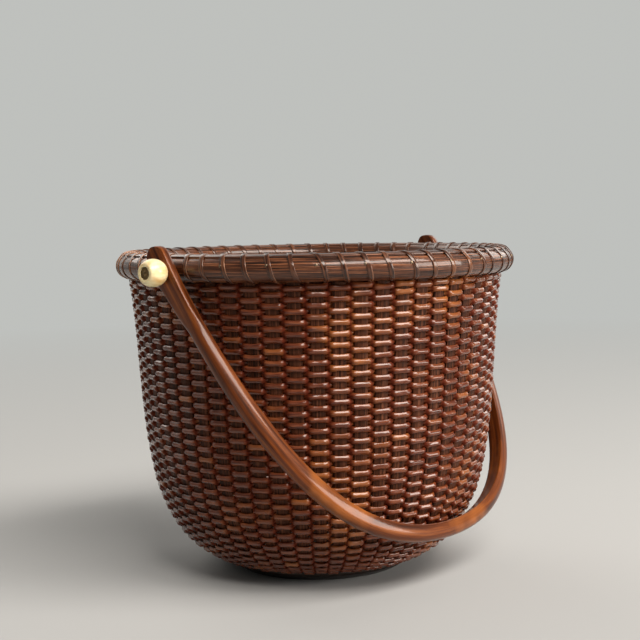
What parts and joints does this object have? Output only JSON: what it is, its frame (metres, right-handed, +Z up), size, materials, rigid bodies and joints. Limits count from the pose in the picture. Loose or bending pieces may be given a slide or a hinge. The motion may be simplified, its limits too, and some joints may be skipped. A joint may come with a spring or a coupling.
{
  "type": "basket",
  "caption": "Round woven cane basket with a turned wooden base, tapered staves, a lashed half-round rim and a bent-wood swing handle on bone knobs.",
  "frame": {"origin": "middle of the base's underside, where the basket stands", "axes": "+Z up; the handle's pivot runs along X, with a knob at each end; at rest the handle leans on the wall towards -Y"},
  "size_m": [0.2364, 0.2051, 0.1675],
  "materials": {
    "base_wood": "dark stained, varnished",
    "stained_cane": "dark mahogany stain under glossy varnish",
    "hoop_wood": "stained, varnished, grain showing",
    "lashing_cane": "stained and varnished",
    "handle_wood": "dark stain, polished",
    "bone": "polished bone, cream with a tan shade",
    "aged_brass": "tarnished"
  },
  "bodies": {
    "basket": {"base_disc": "base_wood", "woven_wall": "stained_cane", "outer_hoop": "hoop_wood", "inner_hoop": "hoop_wood", "rim_cap": "hoop_wood", "rim_lashing": "lashing_cane", "pivot_pin_left": "aged_brass", "pivot_pin_right": "aged_brass", "inner_washer_left": "aged_brass", "inner_washer_right": "aged_brass", "knob_left": "bone", "knob_right": "bone"},
    "handle": {"swing_handle": "handle_wood"}
  },
  "joints": [
    {"name": "handle_swing", "type": "hinge", "parent": "basket", "child": "handle", "pos_m": [0, 0, 0.1554], "axis": [-1, 0, 0], "range_deg": [0, 295]}
  ]
}
